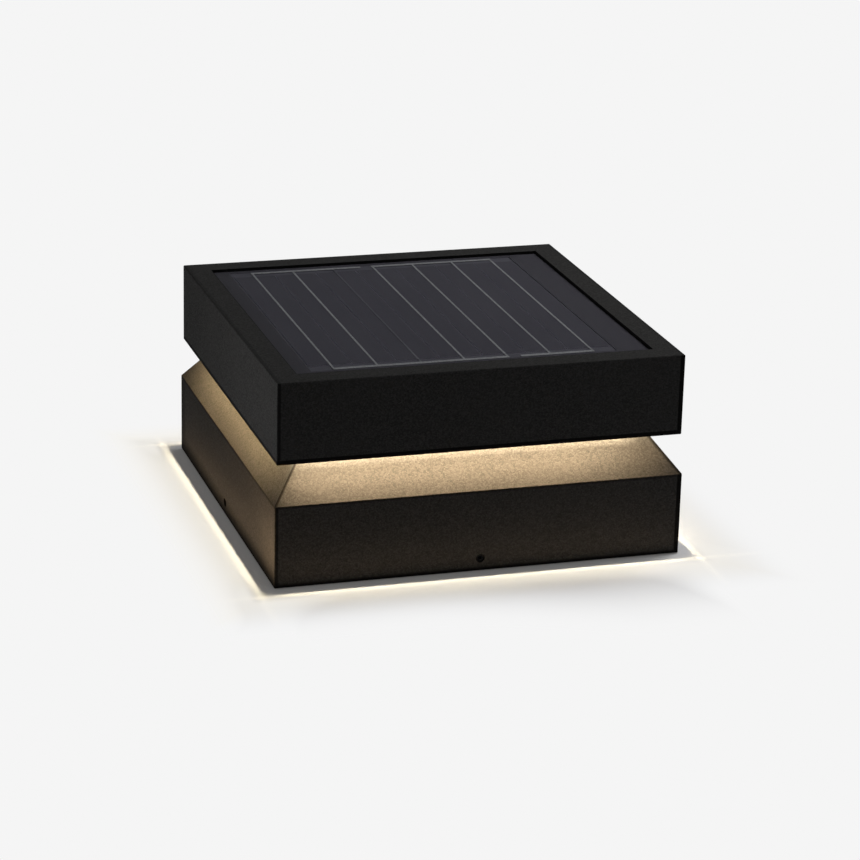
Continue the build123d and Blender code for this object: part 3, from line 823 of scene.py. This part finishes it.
class POSTLIGHT_OT_screws(Operator):
    """Make the threaded screws in the sides, under the deck and under the tray"""

    bl_idname = "post_light.screws"
    bl_label = "Fit Screws"

    def execute(self, context):
        black = moulded("black_oxide", (0.012, 0.012, 0.012), 0.55, 0.4 * MM, 0.02 * MM, 0.05)
        steel = worn_metal("stainless_steel", (0.55, 0.55, 0.54), 0.34, 0.5 * MM, (1, 1, 6))
        paint_nodes(steel, "board_screws")
        self.set_screws(black)
        self.deck_screws(steel)
        self.cap_screws(black)
        return {"FINISHED"}

    def set_screws(self, material):
        """Headless screws that lie in the four sides."""
        shell = socket_set_screw(
            radius=2.5 * MM, length=6.0 * MM, key=2.5 * MM, key_depth=2.5 * MM, pitch=0.8 * MM,
        )
        lay = Matrix.Translation((0, 0, SCREW_LEVEL)) @ Matrix.Rotation(-TURN / 4, 4, "Y")
        bmesh.ops.transform(shell, matrix=lay, verts=shell.verts)
        maker = Maker("set_screw_set", material)
        sides = maker.round_sides(maker.size("Reach", SCREW_HIGH.x))
        piece = maker.build(sides, finished_mesh(shell, "set_screw"))
        place_piece(piece, "lamp", "black_screw", "set_screws")

    def deck_screws(self, material):
        """Domed screws under the corners of the deck."""
        low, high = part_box("deck_screws")
        head_radius = 4.5 * MM
        head_height = 3.0 * MM
        length = high.z - low.z - head_height
        shell = pan_screw(2.5 * MM, head_radius, head_height, length, key=3 * MM, pitch=0.8 * MM)
        bmesh.ops.translate(shell, vec=(0, 0, low.z + head_height), verts=shell.verts)
        mesh = finished_mesh(shell, "deck_screw")
        piece = at_corners("deck_screw_set", material, 2 * (high.x - head_radius), mesh, seed=3)
        place_piece(piece, "lamp", "steel_screw", "deck_screws")

    def cap_screws(self, material):
        """Countersunk screws under the corners of the tray."""
        low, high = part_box("cap_screws")
        head_radius = 4.0 * MM
        length = high.z - low.z
        shell = flat_screw(2.0 * MM, head_radius, 2.2 * MM, length, key=2.5 * MM, pitch=0.7 * MM)
        bmesh.ops.translate(shell, vec=(0, 0, low.z), verts=shell.verts)
        mesh = finished_mesh(shell, "cap_screw")
        piece = at_corners("cap_screw_set", material, 2 * (high.x - head_radius), mesh, seed=8)
        place_piece(piece, "lamp", "black_screw", "cap_screws")


class POSTLIGHT_OT_light_rows(Operator):
    """Make the rows of light packages and finish boards, carrier and opal strips"""

    bl_idname = "post_light.light_rows"
    bl_label = "Make Light Rows"

    def execute(self, context):
        lights = context.scene.post_light_light
        paint_nodes(opal_diffuser("opal_strip"), *[f"diffuser_{side}" for side in SIDES])
        board = printed_board("white_solder_mask", (0.72, 0.73, 0.72), (0.70, 0.52, 0.30), 3.2 * MM)
        paint_nodes(board, *[f"led_board_{side}" for side in SIDES])
        carrier = worn_metal("brushed_aluminium", (0.72, 0.73, 0.74), 0.36, 0.8 * MM, (0.1, 1, 1))
        paint_nodes(carrier, "led_carrier")
        paint_nodes(moulded("white_jacket", (0.68, 0.68, 0.66), 0.45, 0.4 * MM), "led_jumpers")

        low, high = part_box("led_chips_right")
        maker = Maker("light_packages", light_package("package_and_phosphor"))
        count = maker.size("Packages", lights.packages, "NodeSocketInt")
        pitch = maker.size("Pitch", lights.pitch)
        reach = maker.size("Reach", (low.x + high.x) / 2)
        gaps = maker.maths("SUBTRACT", count, 1)
        first = maker.maths("MULTIPLY", gaps, maker.maths("MULTIPLY", pitch, -0.5))
        row = maker.line(count, maker.vector(Y=first), maker.vector(Y=pitch))
        sides = maker.round_sides(reach, maker.copies(row))
        rows = maker.build(sides, self.package(low, high))
        place_piece(rows, "lamp", "led_phosphor", *[f"led_chips_{side}" for side in SIDES])
        return {"FINISHED"}

    def package(self, low, high):
        """One package with its window facing down, long side along Y."""
        wide = high.x - low.x
        long = 3.5 * MM
        window = 1.05 * MM
        window_depth = 0.25 * (high.z - low.z)
        steps = 16
        shell = bmesh.new()
        phosphor = shell.verts.layers.float.new("phosphor")
        loops = []
        for level, share in ((high.z, 1.0), (low.z + 0.1 * MM, 1.0), (low.z, 0.94)):
            points = [self.outline(share * wide, share * long, TURN * n / steps) for n in range(steps)]
            loops.append([shell.verts.new((x, y, level)) for x, y in points])
        for level, radius, lit in ((low.z, window, 0.0), (low.z + window_depth, 0.85 * window, 1.0)):
            loop = []
            for n in range(steps):
                angle = TURN * n / steps
                vertex = shell.verts.new((radius * math.cos(angle), radius * math.sin(angle), level))
                vertex[phosphor] = lit
                loop.append(vertex)
            loops.append(loop)
        skin(shell, loops)
        return finished_mesh(shell, "light_package")

    def outline(self, wide, long, angle):
        """A point on a rectangle with rounded corners."""
        squareness = 0.35
        x = math.copysign(abs(math.cos(angle)) ** squareness, math.cos(angle))
        y = math.copysign(abs(math.sin(angle)) ** squareness, math.sin(angle))
        return x * wide / 2, y * long / 2


class POSTLIGHT_OT_solar_panel(Operator):
    """Finish cells, back sheet and glass, and make the ribbons on the cells"""

    bl_idname = "post_light.solar_panel"
    bl_label = "Make Solar Panel"

    def execute(self, context):
        panel = context.scene.post_light_panel
        low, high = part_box("cell_ribbons")
        pitch = (high.x - low.x - panel.ribbon_width) / (panel.strips - 1)
        lines = [low.x + panel.ribbon_width / 2 + n * pitch for n in range(panel.strips)]
        paint_nodes(silicon_cell("silicon"), "solar_cells")
        paint_nodes(black_laminate("black_laminate"), "solar_backsheet")
        paint_nodes(cover_glass("etched_glass"), "solar_glass")
        foam = moulded("foam_tape", (0.03, 0.03, 0.032), 0.9, 0.7 * MM, 0.1 * MM, 0.2)
        paint_nodes(foam, "solar_seal")
        tin = tinned_ribbon("tinned_ribbon", lines[2], low.y, high.y)
        self.strip_ribbons(panel, tin, lines[0], pitch)
        self.bus_bars(panel, tin, lines)
        return {"FINISHED"}

    def strip_ribbons(self, panel, material, first_line, pitch):
        """A thin ribbon along the middle of each strip."""
        low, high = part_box("cell_ribbons")
        maker = Maker("strip_ribbons", material)
        count = maker.size("Strips", panel.strips, "NodeSocketInt")
        start = maker.vector(X=maker.size("First Line", first_line))
        offset = maker.vector(X=maker.size("Pitch", pitch))
        row = maker.line(count, start, offset)
        shell = bmesh.new()
        self.ribbon(shell, (low.y, high.y), 0.0, panel.ribbon_width, (low.z, high.z), 36, along_y=True)
        piece = maker.build(maker.copies(row), finished_mesh(shell, "ribbon"))
        place_piece(piece, "lamp", "tinned_ribbon", "cell_ribbons")

    def bus_bars(self, panel, material, lines):
        """Two cross ribbons in a row at each end, parted at one of the lines."""
        low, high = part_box("bus_ribbons")
        front = low.y + panel.bus_width / 2
        back = high.y - panel.bus_width / 2
        edge = panel.ribbon_width / 2
        spans = (
            (low.x, lines[4] + edge, front),
            (lines[4] + panel.bus_gap, high.x, front),
            (low.x, lines[3] - panel.bus_gap, back),
            (lines[3] - edge, high.x, back),
        )
        shell = bmesh.new()
        for left, right, middle in spans:
            self.ribbon(shell, (left, right), middle, panel.bus_width, (low.z, high.z), 20, along_y=False)
        mesh = finished_mesh(shell, "bus_bars")
        mesh.materials.append(material)
        place_piece(new_object("bus_bars", mesh), "lamp", "tinned_ribbon", "bus_ribbons")

    def ribbon(self, shell, span, middle, width, levels, parts, along_y):
        """A flat ribbon with rounded edges and shallow solder waves on its top."""
        start, end = span
        low, high = levels
        section = (
            (-0.5, 0.3), (-0.42, 0.0), (0.42, 0.0), (0.5, 0.3),
            (0.5, 0.7), (0.36, 1.0), (-0.36, 1.0), (-0.5, 0.7),
        )
        wave = 2.4
        loops = []
        for part in range(parts + 1):
            along = start + (end - start) * part / parts
            sink = 0.12 * (1 + math.cos(part * wave))
            loop = []
            for across, up in section:
                level = low + (high - low) * (up - sink * (up > 0.5) * (up - 0.5))
                side = middle + across * width
                loop.append(shell.verts.new((side, along, level) if along_y else (along, side, level)))
            loops.append(loop)
        skin(shell, loops)


class POSTLIGHT_OT_inside(Operator):
    """Finish battery, controller board, switch and leads"""

    bl_idname = "post_light.inside"
    bl_label = "Finish Inside"

    def execute(self, context):
        black = moulded("black_plastic", (0.028, 0.028, 0.03), 0.5, 0.6 * MM)
        paint_nodes(black, "battery_holder", "junction_block", "board_chips")
        wrap = moulded("battery_wrap", (0.06, 0.13, 0.30), 0.35, 1.5 * MM, 0.02 * MM)
        paint_nodes(wrap, "battery_cell_front", "battery_cell_back")
        nickel = worn_metal("nickel_plating", (0.66, 0.62, 0.55), 0.3, 0.6 * MM)
        paint_nodes(nickel, "battery_contacts", "board_spacers")
        board = printed_board("green_solder_mask", (0.02, 0.13, 0.05), (0.70, 0.52, 0.25), 4 * MM)
        paint_nodes(board, "controller_board")
        paint_nodes(moulded("ferrite", (0.05, 0.048, 0.046), 0.7, 0.4 * MM, 0.05 * MM), "inductor")
        can = worn_metal("can_aluminium", (0.60, 0.61, 0.63), 0.4, 0.8 * MM, (1, 1, 0.1))
        paint_nodes(can, "capacitors")
        paint_nodes(moulded("nylon", (0.70, 0.68, 0.60), 0.5, 0.5 * MM), "board_connectors")
        switch = worn_metal("switch_metal", (0.62, 0.62, 0.61), 0.28, 0.5 * MM, (1, 1, 0.2))
        paint_nodes(switch, "switch_body", "switch_nut")
        paint_nodes(moulded("button_rubber", (0.045, 0.045, 0.047), 0.6, 0.4 * MM), "power_button")
        jacket = moulded("lead_jacket", (0.03, 0.03, 0.03), 0.5, 0.8 * MM)
        paint_nodes(jacket, "panel_lead", "led_lead", "switch_lead", "battery_lead")
        return {"FINISHED"}


# Soft lamps round the stage: name, place, size and power
STUDIO_LAMPS = (
    ("soft_top", (0.55, 0.08, 0.77), (0.4, 0.4), 3.9),
    ("soft_left", (-1.7, -0.1, 0.5), (1.2, 1.0), 1.0),
    ("soft_front", (0.5, -2.0, 0.6), (1.2, 1.0), 1.5),
)
STAGE_MIDDLE = (0, 0, 0.06)
CAMERA_SHIFT = (5.2 * MM, -13.2 * MM)

# A strip dims towards each end: its share of light there, and where along the strip it changes
PLAIN_ENDS = ((0.25, 0.0, 0.22), (0.25, 0.75, 1.0))
NEAR_BOUNCE_ENDS = ((0.6, 0.0, 0.4), (0.3, 0.55, 0.85))
FAR_BOUNCE_ENDS = ((0.0, 0.4, 0.95), (1.0, 0.98, 1.0))

# Lamps over the shoulder: distance out, level, lean in degrees, width, colour and the front one's ends
THIN = 0.8 * MM
SHOULDER_LAMPS = {
    "outer": (
        125.4 * MM, WINDOW_LEVEL, 0.0, THIN, "colour", ((0.8, 0.0, 0.22), (0.1, 0.7, 1.05)),
    ),
    "inner": (
        111.2 * MM, WINDOW_LEVEL, 0.0, THIN, "inner_colour", ((0.45, 0.0, 0.12), (0.1, 0.88, 0.97)),
    ),
    "brow": (
        110.6 * MM, 72.02 * MM, -51.9, 8.5 * MM, "inner_colour", ((0.4, 0.0, 0.08), (0.0, 0.88, 0.95)),
    ),
}
LEFT_TINT = (1.0, 0.97, 0.85)
NO_TINT = (1.0, 1.0, 1.0)

# Lamps over the floor: lean and spread in degrees, length and colour
FLOOR_LAMP_REACH = 122.2 * MM
FLOOR_LAMPS = {
    "ground": (0.0, 90, 250 * MM, "ground_colour"),
    "line": (9.0, 42, 250 * MM, "line_colour"),
    "ray": (10.7, 6, 365 * MM, "line_colour"),
}

# How far from the base the strips of floor lie that throw light back, and how high over the floor
BOUNCE_AWAY = 15 * MM
NEAR_BOUNCE_AWAY = 12 * MM
FAR_BOUNCE_AWAY = 24 * MM
GLOW_AWAY = 36 * MM
OVER_FLOOR = 1 * MM


class POSTLIGHT_OT_stage(Operator):
    """Set up floor, backdrop, studio light, the lamp's own light and the camera"""

    bl_idname = "post_light.stage"
    bl_label = "Set Stage"

    def execute(self, context):
        stage = context.scene.post_light_stage
        context.scene.view_settings.view_transform = "Standard"
        self.world(context.scene, stage)
        self.floor(stage)
        self.studio()
        self.own_light(context.scene)
        self.camera(context.scene, stage)
        return {"FINISHED"}

    def seen(self, finish):
        """1 for rays that show the backdrop: from the camera, in gloss and through glass."""
        path = finish.add("ShaderNodeLightPath", output="Is Camera Ray")
        return path | path.output("Is Glossy Ray") | path.output("Is Transmission Ray")

    def world(self, scene, stage):
        scene.world = bpy.data.worlds.new("studio")
        finish = Finish(scene.world)
        colour = finish.blend(self.seen(finish), [stage.ambient] * 3, [stage.white] * 3)
        finish.show(finish.add("ShaderNodeBackground", sockets={"Color": colour}))

    def floor(self, stage):
        shell = bmesh.new()
        bmesh.ops.create_grid(shell, x_segments=8, y_segments=8, size=6.0)
        bmesh.ops.translate(shell, vec=(0, 0, CAD_BOX[0][2] - 0.2 * MM), verts=shell.verts)
        mesh = finished_mesh(shell, "floor")
        finish = new_finish("pale_floor")
        outward = (abs(finish.x) | abs(finish.y)) - BASE_HALF
        grain = finish.noise(2 * MM, detail=2.0)
        colour = finish.blend(grain, shade(stage.floor_colour, 0.97), stage.floor_colour)
        near = finish.add("ShaderNodeBsdfDiffuse", sockets={"Color": colour})
        # Painted light: a warm glow from the lamp painted into the floor's white, fading out between 12 and
        # 55 mm from the base
        warm = shade(stage.warmth, stage.white)
        tint = finish.blend(finish.step(outward, 12 * MM, 55 * MM), warm, [stage.white] * 3)
        white = finish.add("ShaderNodeEmission", sockets={"Color": tint})
        clear = self.faded(finish, outward) | stage.lift
        mesh.materials.append(finish.show(finish.mix(clear * self.seen(finish), near, white)))
        new_object("floor", mesh)

    def faded(self, finish, outward):
        """How far the floor has faded to plain white on each side of the base and past its corners; the
        reaches differ side by side, which gives the shade that the floor keeps round the base a painted
        outline, wider in front, and paints white over the shade past the corners.
        """
        slow = 1 - 0.35 * finish.step(finish.x, -60 * MM, 80 * MM)
        left = self.fade(finish, -BASE_HALF - finish.x, 8.5 * MM, 34 * MM)
        right = self.fade(finish, finish.x - BASE_HALF, 9 * MM, 60 * MM)
        front = self.fade(finish, slow * (-BASE_HALF - finish.y), 19 * MM, 60 * MM)
        back = self.fade(finish, finish.y - BASE_HALF, 8.5 * MM, 26 * MM)
        # Painted light: past the corners white covers the floor's shade
        inward = (abs(finish.x) & abs(finish.y)) - BASE_HALF
        strength = 0.85 + 0.15 * finish.step(outward, 25 * MM, 65 * MM)
        aside = strength * finish.step(inward, -50 * MM, 5 * MM)
        return left | right | front | back | aside * finish.step(outward, 9 * MM, 18 * MM)

    def fade(self, finish, distance, start, reach):
        """A rise from 0 at a start to 1 after a reach, quick at first and slow at the end."""
        ends = {"From Min": start, "From Max": start + reach, "To Min": 1.0, "To Max": 0.0}
        rest = finish.add("ShaderNodeMapRange", sockets={"Value": distance, **ends})
        return 1 - rest * rest * rest

    def lamp(self, name, size, power):
        """A rectangular lamp that the camera doesn't see."""
        light = bpy.data.lights.new(name, "AREA")
        light.shape = "RECTANGLE"
        light.size, light.size_y = size
        light.energy = power
        lamp = new_object(name, light)
        lamp.visible_camera = False
        return lamp

    def area(self, name, place, aim, size, power):
        """A lamp at a place, aimed at a point."""
        lamp = self.lamp(name, size, power)
        lamp.location = place
        lamp.rotation_euler = (Vector(aim) - Vector(place)).to_track_quat("-Z", "Y").to_euler()
        return lamp

    def strip(self, name, side, place, lean, size, power):
        """A lamp along one side of the square: place is its distance out and level, lean is in degrees."""
        reach, level = place
        spin = Matrix.Rotation(SIDES.index(side) * TURN / len(SIDES), 4, "Z")
        tilt = Matrix.Rotation(math.radians(-lean), 4, "X")
        lamp = self.lamp(f"{name}_light_{side}", size, power)
        lamp.matrix_world = spin @ Matrix.Translation((0, -reach, level)) @ tilt
        return lamp

    def studio(self):
        """Soft light from above, left and front, and a little more on the cap's left side."""
        for name, place, size, power in STUDIO_LAMPS:
            self.area(name, place, STAGE_MIDDLE, size, power)
        near = self.area("near_left", (-0.325, -0.1, 0.1), (-0.125, -0.1, 0.1), (0.1, 0.1), 0.21)
        near.light_linking.receiver_collection = self.lit_only(NODES["cap_housing"])

    def own_light(self, scene):
        """The light of each window, split between shoulder and floor, and what the floor throws back."""
        lights = scene.post_light_light
        shoulder = self.lit_only(NODES["base_housing"])
        ground = self.lit_only(scene.objects["floor"])
        for side in SIDES:
            self.light_shoulder(lights, side, shoulder)
            self.light_floor(lights, side, ground)
            if side != "left":
                self.bounce("bounce", side, shoulder, BOUNCE_AWAY, lights.bounce, lights)
        near = self.bounce("near_bounce", "left", shoulder, NEAR_BOUNCE_AWAY, lights.near_bounce, lights)
        self.taper(near.data, *NEAR_BOUNCE_ENDS)
        far = self.bounce("far_bounce", "left", shoulder, FAR_BOUNCE_AWAY, lights.far_bounce, lights)
        self.taper(far.data, *FAR_BOUNCE_ENDS)
        spot = Vector((-BASE_HALF - GLOW_AWAY, -BASE_HALF, OVER_FLOOR))
        over_spot = spot + Vector((0, 0, 1))
        glow = self.area("ground_glow", spot, over_spot, (12 * MM, 8 * MM), lights.glow_power)
        self.shine_on(glow, shoulder, lights.glow_colour)

    def light_shoulder(self, lights, side, receivers):
        """The strips that light one side of the shoulder, dimmer and deeper in colour on the left."""
        share = lights.left_share if side == "left" else 1.0
        tint = LEFT_TINT if side == "left" else NO_TINT
        for name, (reach, level, lean, width, colour, front_ends) in SHOULDER_LAMPS.items():
            power = share * getattr(lights, f"{name}_power")
            lamp = self.strip(name, side, (reach, level), lean, (lights.length, width), power)
            self.shine_on(lamp, receivers, [a * b for a, b in zip(getattr(lights, colour), tint)])
            self.taper(lamp.data, *(front_ends if side == "front" else PLAIN_ENDS))

    def light_floor(self, lights, side, receivers):
        """The strips that light the floor on one side: an even light, its bright edge and thin rays."""
        for name, (lean, spread, length, colour) in FLOOR_LAMPS.items():
            place = (FLOOR_LAMP_REACH, WINDOW_LEVEL)
            power = getattr(lights, f"{name}_power")
            lamp = self.strip(name, side, place, lean, (length, THIN), power)
            lamp.data.spread = math.radians(spread)
            self.shine_on(lamp, receivers, getattr(lights, colour))

    def bounce(self, name, side, receivers, away, power, lights):
        """A lit strip of floor that throws light up at one side of the base."""
        place = (BASE_HALF + away, OVER_FLOOR)
        lamp = self.strip(name, side, place, -180, (2 * BASE_HALF, THIN), power)
        self.shine_on(lamp, receivers, lights.glow_colour)
        return lamp

    def shine_on(self, lamp, receivers, colour):
        """Let a lamp light one group only, in its own colour, and move with the lamp head."""
        lamp.data.color = colour
        lamp.light_linking.receiver_collection = receivers
        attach(lamp, "lamp")

    def taper(self, light, rise, fall):
        """Dim a strip towards its ends, each given by its share and by where along the strip it changes."""
        finish = Finish(light)
        spot = finish.add("ShaderNodeNewGeometry", output="Parametric")
        along = finish.add("ShaderNodeSeparateXYZ", sockets={0: spot}, output="X")
        start, low, high = rise
        brighter = start + (1 - start) * finish.step(along, low, high)
        end, low, high = fall
        dimmer = 1 - (1 - end) * finish.step(along, low, high)
        colour = finish.blend(brighter * dimmer, (0, 0, 0), (1, 1, 1))
        finish.show(finish.add("ShaderNodeEmission", sockets={"Color": colour}))

    def lit_only(self, piece):
        """A group that holds the one piece that some of the lamps light."""
        group = bpy.data.collections.new(f"{piece.name}_lit")
        group.objects.link(piece)
        return group

    def camera(self, scene, stage):
        data = bpy.data.cameras.new("camera")
        data.lens = stage.lens
        data.sensor_width = 36.0
        data.clip_start = 0.05
        camera = new_object("camera", data)
        scene.camera = camera
        turn, rise, lean = stage.azimuth, stage.elevation, stage.roll
        back = Vector((math.sin(turn) * math.cos(rise), -math.cos(turn) * math.cos(rise), math.sin(rise)))
        right = Vector((math.cos(turn), math.sin(turn), 0))
        up = back.cross(right)
        leaned_right = right * math.cos(lean) + up * math.sin(lean)
        leaned_up = up * math.cos(lean) - right * math.sin(lean)
        aside, above = CAMERA_SHIFT
        target = Vector(STAGE_MIDDLE) + leaned_right * aside + leaned_up * above
        turned = Matrix((leaned_right, leaned_up, back)).transposed()
        camera.matrix_world = Matrix.Translation(target + back * stage.distance) @ turned.to_4x4()


class POSTLIGHT_PT_panel(Panel):
    """Steps that dress the solar post light"""

    bl_label = "Post Light"
    bl_space_type = "VIEW_3D"
    bl_region_type = "UI"
    bl_category = "Post Light"

    def draw(self, context):
        for step in STEPS:
            self.layout.operator(step.bl_idname)
        for group in SETTINGS:
            settings = getattr(context.scene, group)
            box = self.layout.box()
            for key in settings.bl_rna.properties.keys():
                if key not in ("name", "rna_type"):
                    box.prop(settings, key)


SETTINGS = {
    "post_light_coat": CoatSettings,
    "post_light_panel": PanelSettings,
    "post_light_light": LightSettings,
    "post_light_stage": StageSettings,
}
STEPS = (
    POSTLIGHT_OT_castings,
    POSTLIGHT_OT_mount,
    POSTLIGHT_OT_screws,
    POSTLIGHT_OT_light_rows,
    POSTLIGHT_OT_solar_panel,
    POSTLIGHT_OT_inside,
    POSTLIGHT_OT_stage,
)
CLASSES = (*SETTINGS.values(), *STEPS, POSTLIGHT_PT_panel)


def register():
    for kind in CLASSES:
        bpy.utils.register_class(kind)
    for name, kind in SETTINGS.items():
        setattr(bpy.types.Scene, name, PointerProperty(type=kind))


def unregister():
    for name in SETTINGS:
        delattr(bpy.types.Scene, name)
    for kind in reversed(CLASSES):
        bpy.utils.unregister_class(kind)


def main():
    register()
    bpy.ops.post_light.castings()
    bpy.ops.post_light.mount()
    bpy.ops.post_light.screws()
    bpy.ops.post_light.light_rows()
    bpy.ops.post_light.solar_panel()
    bpy.ops.post_light.inside()
    bpy.ops.post_light.stage()


if __name__ == "__main__":
    main()
